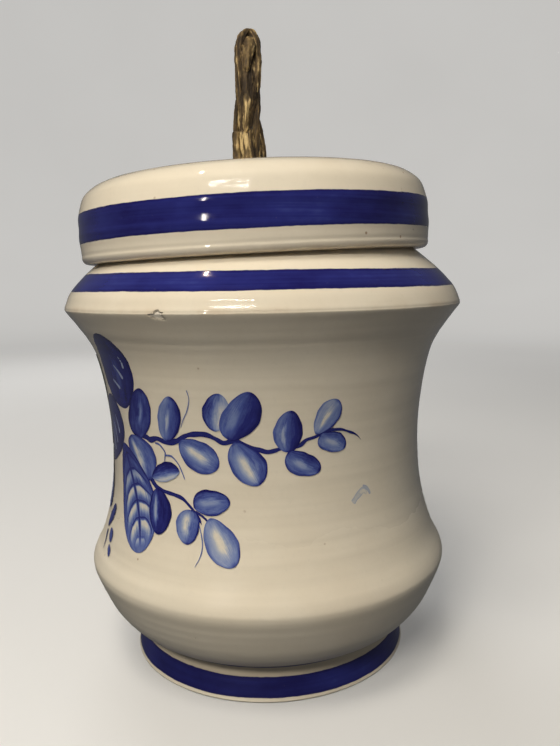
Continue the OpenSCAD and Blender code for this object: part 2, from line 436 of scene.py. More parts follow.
# radius, height, bare clay and edge wear of the neck, up over the rim and down into the mouth
NECK = ((73, 183.7, 0, 0), (72.35, 184.6, 0, 0), (72.05, 185.6, 0, 0), (72, 186.8, 0, 0.3),
        (71.85, 187.5, 0.3, 0.6), (71.4, 187.9, 0.9, 1), (70.6, 188, 1, 0), (68.5, 188, 1, 0),
        (66.6, 188, 1, 0), (65.6, 187.85, 0.9, 0.5), (64.9, 187.3, 0.4, 0.6), (64.6, 186.4, 0, 0.2),
        (64.5, 185, 0, 0), (64.5, 182, 0, 0), (64.6, 179, 0, 0))


def body_mesh():
    chip_theta = math.radians(CHIP_A - 90)
    fine = chip_theta + np.radians(np.arange(-4.6, 4.7, 0.4))
    even = np.arange(COLUMNS) * 2 * np.pi / COLUMNS
    theta = np.unique(np.concatenate([even, np.mod(fine, 2 * np.pi)]).round(5))
    cols = len(theta)
    # rows: radius, height, frame share (0 jar, 1 crooked rim), profile mark, bare clay, edge wear
    rows = []

    def row(r, z, seat=0.0, mark=None, bare=0.0, edge=0.0):
        rows.append((r, z, seat, z if mark is None else mark, bare, edge))

    for r, z in FOOT_HOLLOW:
        row(r, z, mark=INSIDE, bare=1.0)
    for r, z in np.vstack([catmull(FOOT, 5)[:-1], catmull(WALL, 7)[:-1]]):
        row(r, z, bare=1.0 if z < 0.1 else 0.0, edge=0.1 * wear(z, 0.9, 1.0))
    for r, z in catmull(RIDGE, 9)[:-1]:
        row(r, z, edge=wear(z, RIDGE_Z, 1.5))
    row(74.3, 182.6, 0.15)
    for r, z, b, e in NECK:
        row(r, z, 1.0, INSIDE if b or z < 187 and r < 66 else z, b, e)
    row(66.5, 177.6, 0.5, INSIDE)
    for r, z in catmull(INNER, 4)[:0:-1]:
        row(max(r, 0.5), z, mark=INSIDE)
    grid = np.array(rows)
    r, z, seat, mark, bare, edge = (grid[:, i][:, None] for i in range(6))
    th = theta[None, :]
    zz = z + 0 * th
    outside = mark > 0
    rr = r + np.where(outside, thrown(th, zz), 0.35 * thrown(th + 0.4, zz)) * (r > 5)
    # flaked chip on the shoulder ridge
    across = ((th - chip_theta + np.pi) % (2 * np.pi) - np.pi) * CHIP_R / CHIP_HALF[0]
    rise = (zz - CHIP_Z) / CHIP_HALF[1]
    ang = np.arctan2(rise, across)
    ragged = 1 + 0.2 * np.sin(3 * ang + 0.6) + 0.14 * np.sin(5 * ang + 2) + 0.08 * np.sin(8 * ang)
    d = np.hypot(across, rise) * ragged
    chip = np.where(outside, np.clip(1.35 - d, 0, 1), 0)
    rr = rr - 0.55 * np.clip((1.08 - d) / 0.35, 0, 1) * outside
    points = np.stack([rr * np.cos(th), rr * np.sin(th), zz], -1).reshape(-1, 3)
    share = np.repeat(seat, cols, 1).reshape(-1, 1)
    verts = points * MM * (1 - share) + seated(points) * share
    verts = np.vstack([verts, [[0, 0, grid[0][1] * MM]], [[0, 0, grid[-1][1] * MM]]])
    return mesh_object("jar_glazed_body", verts, turned(len(grid), cols, True, True), "jar", {
        "profile": per_point(mark, zz.shape, (INSIDE, INSIDE)), "bare": per_point(bare, zz.shape, (1, 0)),
        "edge": per_point(edge, zz.shape), "chip": per_point(chip, zz.shape)})


body = body_mesh()
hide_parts("jar_body")
body.data.materials.append(jar_material("glaze_jar", [(2.0, 10.2), (169.9, 177.1)]))

# ---------------------------------------------------------------- lid mesh


LID_SIDE = [[50, PAD_Z], [62, 219.3], [70, 217.4], [75, 214], [77.6, 209.9], [78.8, 205.2], [79.3, 200],
            [79.3, 193], [79.1, 189.5], [78.8, 187.8], [78.8, 186.6], [78.3, 185.2], [77.2, 184.3],
            [75, 184], [73.4, 185]]
LID_SEAT_Z = RIM_Z + 0.2           # the lid's seat, a hair of play above the rim

# radius, height and bare clay of the seat and of the ring that drops into the mouth
LID_RING = ((73.25, 186.2, 0.3), (73.1, 187.6, 1), (72.7, 188.15, 1), (71, LID_SEAT_Z, 1),
            (68, LID_SEAT_Z, 1), (65, LID_SEAT_Z, 1), (63.6, 188.1, 1), (63.1, 187.4, 0.7), (63, 185, 0.1),
            (63, 181, 0), (63, 179.2, 0), (62.4, 177.8, 0), (61.4, 177.2, 0.6), (60, 177.2, 1),
            (58.4, 177.2, 1), (57.3, 177.6, 0.5), (57, 178.8, 0), (57, 184, 0))
LID_HOLLOW = [[57, 190], [60, 196], [64.5, 202], [66, 206], [64, 210.5], [59, LID_CEILING]]


def lid_mesh():
    # rows: radius, height, profile mark, bare clay, edge wear
    rows = []

    def row(r, z, mark=INSIDE, bare=0.0, edge=0.0):
        rows.append((r, z, mark, bare, edge))

    # top, from the middle out, then the side, the lower lip, the seat, the ring and the hollow
    for r in (0.5, 12, 24, 30, 36, 42, 46):
        row(r, PAD_Z, PAD_Z)
    for r, z in catmull(LID_SIDE, 6):
        row(r, z, z, edge=max(0.9 * wear(z, 184.6, 1.2), 0.35 * wear(z, 217.5, 3.5)))
    for r, z, b in LID_RING:
        row(r, z, bare=b)
    for r, z in catmull(LID_HOLLOW, 5):
        row(r, z)
    for r in (54, 46, 38, 30, 22, 12, 0.5):
        row(r, LID_CEILING)
    grid = np.array(rows)
    r, z, mark, bare, edge = (grid[:, i][:, None] for i in range(5))
    th = np.arange(COLUMNS)[None, :] * 2 * np.pi / COLUMNS
    outside = mark > 0
    # rings and lumps of the thrown side, and turning rings on the flat top
    ring = 0.13 * np.cos(2 * np.pi * (z - 195.1) / 8.8)
    lumps = 0.14 * np.sin(2 * th + 1.1) + 0.08 * np.sin(3 * th + 0.4)
    rr = r + np.where(outside & (r > 45), ring + lumps, 0) * np.clip((r - 45) / 20, 0, 1)
    zz = z + np.where(outside & (r < 72) & (r > 44), 0.05 * np.sin(r * 1.7 + th), 0)
    points = np.stack([rr * np.cos(th), rr * np.sin(th), zz], -1).reshape(-1, 3)
    points = np.vstack([points, [[0, 0, PAD_Z]], [[0, 0, LID_CEILING]]])
    faces = [tuple(reversed(f)) for f in turned(len(grid), COLUMNS, True, True)]
    return mesh_object("lid_glazed", seated(points), faces, "lid", {
        "profile": per_point(mark, zz.shape, (PAD_Z, INSIDE)), "bare": per_point(bare, zz.shape),
        "edge": per_point(edge, zz.shape), "chip": np.zeros(len(points))})


lid = lid_mesh()
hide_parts("lid")
lid.data.materials.append(jar_material("glaze_lid", [(192.7, 205.3)]))

# ---------------------------------------------------------------- painted decoration

DEGREE = math.pi / 180 * 75        # mm along the wall in one degree round it
GRAIN = 0.62                       # mm between the points of a painted sheet
LEAF, FEATHER, STEM = 0, 1, 2      # ways that a sheet is painted


def on_wall(a, z, lift):
    """Point on the jar's wall, a degrees round from the front towards +X, z mm up, lift mm proud."""
    th = np.radians(np.asarray(a) - 90)
    z = np.asarray(z, float)
    r = wall_r(z) + thrown(th, z) + lift
    return np.stack([r * np.cos(th), r * np.sin(th), z], -1) * MM


class Painting:
    """Thin painted sheets that lie on the jar's wall, gathered into one mesh."""

    def __init__(self, seed=0):
        self.points, self.faces, self.uv = [], [], []
        self.tones, self.lights, self.spans = [], [], []
        self.count = 0
        self.seed = seed
        self.level = 0          # each sheet lies a hair above the one before it

    def sheet(self, s, z, u, v, tone, light, span, style):
        """A patch given by grids of distance round the wall (mm) and height (mm).

        u runs along it and v across it. tone is (density, lean across, darker edge), light is
        (place across, width, strength) of the wiped light, and span is where the light starts and ends.
        """
        rows, cols = s.shape
        self.seed += 1
        self.level += 1
        points = on_wall(s / DEGREE, z, 0.07 + 0.008 * self.level).reshape(-1, 3)
        for i in range(rows - 1):
            for j in range(cols - 1):
                q = self.count + i * cols + j
                self.faces.append((q, q + 1, q + cols + 1, q + cols))
        k = len(points)
        self.count += k
        self.points.append(points)
        self.uv.append(np.stack([u.ravel(), v.ravel(), np.full(k, (self.seed * 0.618) % 1)], -1))
        self.tones.append(np.tile(tone, (k, 1)))
        self.lights.append(np.tile(light, (k, 1)))
        self.spans.append(np.tile((*span, style), (k, 1)))

    def leaf(self, base, tip, left, right, tone, light, span=(0.15, 0.85), style=LEAF, flip=1, bend=0.0):
        """A leaf from base to tip (degrees, mm); left and right are its sides' (half width, fullness)."""
        b = np.array([base[0] * DEGREE * flip, base[1]])
        t = np.array([tip[0] * DEGREE * flip, tip[1]])
        ax = t - b
        length = float(np.hypot(*ax))
        nrm = np.array([-ax[1], ax[0]]) / length * flip
        rows = max(14, int(length / GRAIN))
        cols = max(8, int((left[0] + right[0]) / GRAIN))
        u = (1 - np.cos(np.linspace(0, np.pi, rows))) / 2
        v = np.linspace(-1, 1, cols)
        seed = self.seed * 1.7
        wob = 0.16 * np.sin(u * 9 + seed) + 0.1 * np.sin(u * 23 + 2 * seed)
        lw = left[0] * np.sin(np.pi * u ** left[1]) ** 0.5 + wob * np.sin(np.pi * u)
        rw = right[0] * np.sin(np.pi * u ** right[1]) ** 0.52 + 0.8 * np.roll(wob, 3) * np.sin(np.pi * u)
        side = np.where(v[None, :] > 0, v[None, :] * lw[:, None], v[None, :] * rw[:, None])
        curve = bend * np.sin(np.pi * u)[:, None]
        s = b[0] + ax[0] * u[:, None] + nrm[0] * (side + curve)
        z = b[1] + ax[1] * u[:, None] + nrm[1] * (side + curve)
        self.sheet(s, z, np.repeat(u[:, None], cols, 1), np.repeat(v[None, :], rows, 0),
                   tone, light, span, style)

    def stroke(self, points, w0, w1, tone=(0.9, 0.0, 0.1), flip=1, power=1.0):
        """A brush line through points (degrees, mm), w0 mm wide at its start and w1 at its end."""
        line = catmull([[a * DEGREE * flip, z] for a, z in points], 6)
        d = np.gradient(line, axis=0)
        d = d / np.linalg.norm(d, axis=1)[:, None]
        nrm = np.stack([-d[:, 1], d[:, 0]], -1)
        run = np.concatenate([[0], np.cumsum(np.linalg.norm(np.diff(line, axis=0), axis=1))])
        u = run / run[-1]
        seed = self.seed * 2.3
        w = (w0 + (w1 - w0) * u ** power) / 2
        w = w * (1 + 0.12 * np.sin(run * 0.45 + seed) + 0.08 * np.sin(run * 1.1 + 2 * seed))
        w = w * np.clip(u / 0.03 + 0.35, 0, 1) * np.clip((1 - u) / 0.06 + 0.05, 0, 1)
        v = np.linspace(-1, 1, 6)
        s = line[:, 0][:, None] + nrm[:, 0][:, None] * w[:, None] * v[None, :]
        z = line[:, 1][:, None] + nrm[:, 1][:, None] * w[:, None] * v[None, :]
        self.sheet(s, z, np.repeat(u[:, None] * run[-1] / 12, 6, 1), np.repeat(v[None, :], len(u), 0),
                   tone, (0, 0.3, 0.0), (0, 1), STEM)

    def build(self, name):
        return mesh_object(name, np.vstack(self.points), self.faces, "jar", {
            "paint_uv": np.vstack(self.uv), "paint_tone": np.vstack(self.tones),
            "paint_light": np.vstack(self.lights), "paint_span": np.vstack(self.spans)})


def spray(p, k):
    """The leafy spray that grows out of the flower to one side: k = 1 towards +X, -1 towards -X."""
    leaf = partial(p.leaf, flip=k)
    stroke = partial(p.stroke, flip=k)
    # stems first, leaves over them
    p.level = 10
    stroke([(41, 113), (47.5, 111.5), (50, 110.5), (53, 111.5), (57, 110.5), (61, 111.5), (64.5, 114),
            (68, 115), (71.5, 115), (74.5, 113.5), (77, 112), (80.5, 113), (84, 111), (87.5, 109.5),
            (90.5, 108.5), (94, 109.5), (97, 110), (100, 110.5), (102, 112.5), (105, 113.5),
            (109, 115.5), (113, 115.5), (115.5, 114.5), (119, 112.5), (121, 110)], 2.3, 0.9, power=1.6)
    stroke([(48.5, 97), (50, 93.5), (52.5, 91), (56.5, 90), (59.5, 89.5), (62.5, 88.5), (65, 86),
            (67.5, 83), (69.5, 79)], 2.2, 0.9)
    stroke([(67, 84), (69.5, 82.5), (71, 81), (72.5, 79)], 1.1, 0.7)
    # thin curls
    stroke([(66.5, 132.5), (67, 129), (66, 124.5), (64, 120), (63, 117)], 0.45, 0.35, tone=(0.5, 0, 0.1))
    stroke([(52, 109.5), (54, 109), (56, 106.5), (56, 105), (55.5, 100.5)], 0.8, 0.3, tone=(0.65, 0, 0.1))
    stroke([(56, 105), (58.5, 105), (61, 102.5), (62.5, 99), (63.5, 96)], 0.8, 0.4, tone=(0.6, 0, 0.1))
    stroke([(68.5, 79), (69.5, 75), (70, 71), (69.5, 67), (68, 63)], 0.6, 0.3, tone=(0.55, 0, 0.1))
    leaf((44, 110), (49, 131.5), (8.5, 0.6), (6.5, 1.1), (0.8, 0.05, 0.22), (0, 0.16, 0.55), (0.25, 0.85))
    leaf((57, 111), (60.5, 129.5), (5.5, 0.9), (6, 1.05), (0.62, -0.26, 0.2), (0.1, 0.14, 0.7), (0.15, 0.8))
    leaf((74.5, 116.5), (76.5, 131.5), (6, 0.9), (5, 1.1), (0.52, 0.26, 0.15), (-0.3, 0.42, 0.75), (0, 0.9))
    leaf((79, 113), (86, 132), (7, 0.7), (7.5, 1.25), (0.76, -0.22, 0.15), (0.3, 0.26, 0.42), (0.12, 0.72))
    leaf((62, 111.5), (75, 102), (6, 1.25), (7, 1.05), (0.6, 0, 0.2), (-0.05, 0.34, 0.9), (0.12, 0.92))
    leaf((80.5, 112.5), (87.5, 95.5), (7, 1.4), (7, 0.9), (0.6, 0.1, 0.22), (-0.16, 0.36, 0.9), (0.2, 1.05))
    leaf((96.5, 108), (97.5, 124.5), (6.5, 0.9), (5, 0.9), (0.74, -0.28, 0.18),
         (0.38, 0.13, 0.6), (0.05, 0.8))
    leaf((96.5, 108.5), (106.5, 100), (3.5, 1.4), (6.5, 0.7), (0.7, 0.15, 0.28),
         (-0.3, 0.2, 0.55), (0.15, 0.9))
    leaf((105, 114.5), (112, 127.5), (5, 1.2), (5, 1.3), (0.42, -0.15, 0.28), (0.05, 0.22, 0.9), (0.1, 0.92))
    leaf((106.5, 114.5), (115, 108), (4, 1.45), (5, 0.6), (0.6, 0.15, 0.28), (-0.15, 0.28, 0.6), (0.15, 0.85))
    # lower group
    leaf((39, 110.5), (48, 92.5), (11, 1.3), (5.5, 0.6), (0.64, -0.05, 0.2), (-0.05, 0.24, 0.9), (0.04, 0.92))
    leaf((50, 95), (61.5, 99.5), (5, 1.2), (3, 1.1), (0.66, 0.36, 0.1), (-0.62, 0.42, 0.65), (0.1, 1))
    leaf((33, 106), (47, 63.5), (12.5, 1.3), (13, 1.25), (0.66, 0, 0.2), (0, 0.3, 0), (0, 1), FEATHER, bend=2)
    leaf((52.5, 91), (53.5, 72.5), (7, 1), (5.5, 1), (0.88, 0.08, 0.15), (-0.3, 0.2, 0.72), (0.1, 0.88))
    leaf((66.5, 86), (78.5, 89), (6, 0.75), (4.5, 1.1), (0.66, 0.1, 0.28), (0.1, 0.28, 0.5), (0.12, 0.9))
    leaf((66, 84.5), (64.5, 71), (4.5, 0.9), (6.5, 0.9), (0.56, 0.16, 0.22), (-0.3, 0.26, 0.9), (0.08, 0.88))
    leaf((72, 82), (80, 64.5), (6, 1.2), (7, 1), (0.46, 0.08, 0.22), (-0.08, 0.42, 0.95), (0.12, 0.93))
    # small marks beside the flower's lower leaf
    leaf((25.5, 76.5), (20.5, 65), (2.5, 0.75), (2.5, 1.05), (0.85, 0, 0.1), (0, 0.2, 0.2))
    leaf((25.5, 66), (27.5, 60.5), (2.25, 1.1), (2, 0.8), (0.75, 0, 0.2), (0, 0.2, 0.3))
    stroke([(21.5, 64), (22, 60), (23, 56)], 1.5, 0.4)
    leaf((27, 59.5), (30, 55.5), (1.25, 1.3), (1.25, 0.75), (0.75, 0, 0.2), (0, 0.2, 0.3))


def flower(p):
    """The big bloom on the front: broad dark petals with combed lights, inner petals and a seeded eye."""
    cz = 110.0                     # height of its middle
    dark = (0.9, -0.05, 0.1)
    faint = (0, 0.2, 0.22)

    def comb(lines, k=1):
        for (a0, z0), (a1, z1) in lines:
            mid = ((a0 + a1) / 2 + 0.5, (z0 + z1) / 2 - 0.3)
            p.stroke([(a0, z0), mid, (a1, z1)], 0.6, 1.5, (0.3, 0, 0), flip=k)

    for k in (1, -1):
        p.leaf((37.1, 121.5), (37.5, 153.5), (16.5, 0.84), (12, 1.06), dark, faint, (0.2, 0.8), flip=k)
        comb([((41.3, 144), (42.2, 139)), ((36.4, 140), (40.4, 134.5)), ((32.8, 133.5), (37, 130))], k)
        p.leaf((17.7, 94.3), (28.3, 125.4), (12.5, 0.98), (13.5, 1.4), dark, faint, (0.2, 0.8), flip=k)
        comb([((27, 117), (29.4, 109)), ((23.6, 113), (26, 104)), ((20.4, 108), (22.4, 100))], k)
    p.leaf((0, 118), (0, 153), (15, 0.8), (15, 0.8), dark, faint)
    comb([((-4.5, 147), (-2.5, 138)), ((0, 149), (0.6, 139)), ((4.5, 147), (3.5, 138))])
    p.leaf((0, 96), (0, 66), (13, 0.85), (13, 0.85), dark, faint)
    comb([((-4, 71), (-2.5, 79)), ((0, 69), (0.6, 78)), ((4, 71), (3.5, 79))])
    for k in (1, -1):
        p.leaf((4, 98), (17, 72), (9.5, 0.9), (10.5, 0.85), (0.76, 0.1, 0.2), (0.1, 0.22, 0.9),
               (0.2, 0.85), flip=k)
        p.leaf((3, 116), (17, 141), (10.5, 0.85), (9, 0.9), (0.72, -0.1, 0.2), (0.05, 0.22, 0.9),
               (0.2, 0.85), flip=k)
    for i in range(8):
        a = math.radians(22.5 + 45 * i)
        b = (5.5 * math.cos(a) / DEGREE, cz + 5.5 * math.sin(a))
        t = (19.5 * math.cos(a) / DEGREE, cz + 19.5 * math.sin(a))
        p.leaf(b, t, (6.6, 0.8), (6.6, 0.8), (0.6, 0.25, 0.3), (-0.15, 0.3, 1), (0.3, 0.9))
    seed_light = (0, 0.8, 0.9)
    p.leaf((-7.5 / DEGREE, cz), (7.5 / DEGREE, cz), (7.5, 1), (7.5, 1), (0.9, 0, 0.1), (0, 0.3, 0))
    for i in range(7):
        a = math.radians(51.4 * i)
        x, z = 4.3 * math.cos(a), cz + 4.3 * math.sin(a)
        p.leaf(((x - 0.9) / DEGREE, z), ((x + 0.9) / DEGREE, z), (0.9, 1), (0.9, 1), (0.12, 0, 0.1),
               seed_light)
    p.leaf((-1.2 / DEGREE, cz), (1.2 / DEGREE, cz), (1.2, 1), (1.2, 1), (0.12, 0, 0.1), seed_light)


def paint_material():
    """Cobalt brushed over the cream glaze, as the sheets' attributes ask."""
    n = Nodes("cobalt_painting")
    co, cream, rough, normal = glaze_base(n)
    u, v, seed = n.xyz(n.attr("paint_uv", "Vector"))
    dens, lean, edge = n.xyz(n.attr("paint_tone", "Vector"))
    hp, hw, hs = n.xyz(n.attr("paint_light", "Vector"))
    u0, u1, style = n.xyz(n.attr("paint_span", "Vector"))
    sv = n.vec(n.mad(u, 1.3, n.mul(seed, 47)), n.mul(v, 5), n.mul(seed, 91))
    hair = n.noise(sv, 3.2, 5, 0.65)
    blot = n.noise(n.vec(n.mad(u, 2, n.mul(seed, 13)), n.mul(v, 1.6), n.mul(seed, 29)), 1.6, 3, 0.55)
    grain = n.noise(co, 900, 2, 0.6)
    hair0, blot0 = n.sub(hair, 0.5), n.sub(blot, 0.5)
    vw = n.mad(hair0, 0.3, n.mad(blot0, 0.4, v))
    uw = n.mad(hair0, 0.3, u)
    av = n.math("ABSOLUTE", v)
    # wiped light down the leaf
    q = n.math("DIVIDE", n.sub(vw, hp), hw)
    line = n.math("EXPONENT", n.mul(n.math("POWER", n.math("ABSOLUTE", q), 2.4), -1))
    ends = n.mul(n.step(n.sub(uw, u0), -0.06, 0.22), n.step(n.sub(u1, uw), -0.02, 0.34))
    wipe = n.mul(n.mul(line, ends), n.mul(hs, 0.93))
    # paint pools at the edges
    pool = n.math("MAXIMUM", n.step(u, 0.9, 0.995), n.step(u, 0.08, 0))
    pool = n.math("MAXIMUM", n.step(av, 0.72, 0.99), pool)
    d = n.add(n.mad(lean, vw, dens), n.mad(hair0, 0.3, n.mul(blot0, 0.38)))
    plain = n.mad(pool, edge, n.mul(d, n.math("SUBTRACT", 1, wipe, clamp=True)))
    # feather leaf: overlapping cups in a row down a rib, each a dark arc with light paint wiped under it
    cup = n.mad(n.math("POWER", av, 2.3), 0.25, 0.09)
    run = n.mul(n.sub(n.mad(blot0, 0.05, u), cup), 6.5)
    fr = n.math("FRACT", run)
    arc = n.step(n.math("MINIMUM", fr, n.sub(1, fr)), 0.12, 0.02)
    arc = n.mul(arc, n.step(n.sub(u, cup), 0.8, 0.74))
    light = n.mul(n.step(fr, 0.08, 0.2), n.step(n.mad(hair0, 0.5, fr), 0.34, 0.92, 1, 0))
    light = n.mul(light, n.step(av, 0.04, 0.14))
    light = n.mul(light, n.step(n.mad(hair0, 0.4, av), 0.5, 0.82, 1, 0))
    light = n.mul(light, n.mul(n.step(u, 0.16, 0.42, 0.1, 1), n.step(u, 0.96, 0.86)))
    rib = n.mul(n.step(av, 0.1, 0.03), n.step(u, 0.95, 0.85, 0.6, 1))
    feather = n.mad(hair0, 0.28, n.mad(n.sub(0.5, fr), 0.1, n.mad(u, -0.34, 0.9)))
    feather = n.mul(feather, n.mad(light, -0.86, 1))
    dark = n.math("MAXIMUM", n.mul(arc, n.step(av, 0.98, 0.8)), rib)
    feather = n.math("MAXIMUM", feather, n.mul(dark, 0.86))
    feather = n.mad(n.step(av, 0.88, 0.99), 0.12, feather)
    stem = n.add(n.mul(dens, n.step(hair, 0.2, 0.7, 0.86, 1.06)), n.mul(n.step(av, 0.5, 0.95), 0.08))

    def is_style(k):
        return n.math("COMPARE", style, k, 0.4)

    density = n.add(n.mul(feather, is_style(FEATHER)), n.mul(stem, is_style(STEM)))
    density = n.add(n.mul(plain, is_style(LEAF)), density)
    density = n.math("ADD", density, n.mul(n.sub(grain, 0.5), 0.08), clamp=True)
    blue = n.ramp(density, COBALT)
    colour = n.mix(n.step(density, 0, 0.2), cream, blue)
    return finish_glaze(n, colour, rough, normal)


paint = Painting()
flower(paint)
spray(paint, 1)
spray(paint, -1)
painting = paint.build("cobalt_painting")
painting.data.materials.append(paint_material())

# pale blue hook of stray glaze on the wall
stray = Painting(seed=2)
stray.stroke([(117.5, 85), (119, 87), (121, 89), (122, 90)], 2.8, 2.2, (0.13, 0, 0.1))
stray.stroke([(121.5, 90.5), (123, 90), (124, 88.5), (124.5, 87)], 1.8, 0.8, (0.18, 0, 0.1))
stray.stroke([(120.5, 88.5), (122, 89), (123, 87.5)], 2.4, 1.4, (0.08, 0, 0.1))
smear = stray.build("stray_glaze_smear")
smear.data.materials.append(painting.data.materials[0])

# ---------------------------------------------------------------- cast handle


def frames(path, up):
    """Unit vectors at each point: along the path, across it, and square to both on the side of up."""
    d = np.gradient(path, axis=0)
    d /= np.linalg.norm(d, axis=1)[:, None]
    b = np.tile(np.array(up, float), (len(path), 1))
    b -= d * (b * d).sum(1)[:, None]
    b /= np.linalg.norm(b, axis=1)[:, None]
    return d, np.cross(b, d), b


def fbm(p, gain):
    """Smooth noise about zero, in four layers of finer and finer detail."""
    total, amp = 0.0, 1.0
    q = Vector(p)
    for _ in range(4):
        total += amp * noise.noise(q)
        q = q * 2.03 + Vector((3.1, 7.7, 1.3))
        amp *= gain
    return total


def tube(path, radius_at, ring, up=(0, 1, 0)):
    """Closed tube; radius_at(i, angles) gives the radius of ring i at each angle and a mark of relief and
    painted highlight.
    """
    d, nrm, bi = frames(path, up)
    ang = np.arange(ring) * 2 * np.pi / ring
    verts, relief_and_highlight = [], []
    for i in range(len(path)):
        r, m = radius_at(i, ang)
        verts.append(path[i] + nrm[i] * (r * np.cos(ang))[:, None] + bi[i] * (r * np.sin(ang))[:, None])
        relief_and_highlight.append(m)
    verts = np.vstack(verts)
    relief_and_highlight = np.concatenate(relief_and_highlight)
    faces = turned(len(path), ring, True, True)
    verts = np.vstack([verts, path[0][None], path[-1][None]])
    relief_and_highlight = np.concatenate([relief_and_highlight, [0.3, 0.3]])
    return verts, faces, relief_and_highlight


LEG = ARCH_Z - PAD_Z
SPAN = 2 * LEG + math.pi * FOOT_X          # length of the handle's middle line, foot to foot


def arch_point(t):
    """Point of the handle's middle line, t mm along it from its -X foot."""
    if t < LEG:
        x, z = -FOOT_X, PAD_Z + t
    elif t > SPAN - LEG:
        x, z = FOOT_X, PAD_Z + SPAN - t
    else:
        a = math.pi - (t - LEG) / FOOT_X
        x, z = FOOT_X * math.cos(a), ARCH_Z + FOOT_X * math.sin(a)
    hold = min(1.0, t / 14, (SPAN - t) / 14)
    left = max(0.0, 1 - t / 110)
    above = min(1.0, max(0.0, (z - ARCH_Z) / 20))
    y = 0.25 * math.sin(t / 10 + 1) + 1.1 * left * math.sin(t / 11.5 + 0.4)
    bow = 1.3 * math.exp(-((z - 231) / 20) ** 2) if t > SPAN / 2 else 0.0
    lean = math.tan(math.radians(HANDLE_LEAN)) * (z - PAD_Z)
    return (x, hold * y + lean - bow, z - 0.5 * above * (1 + math.sin(t / 9.0)))


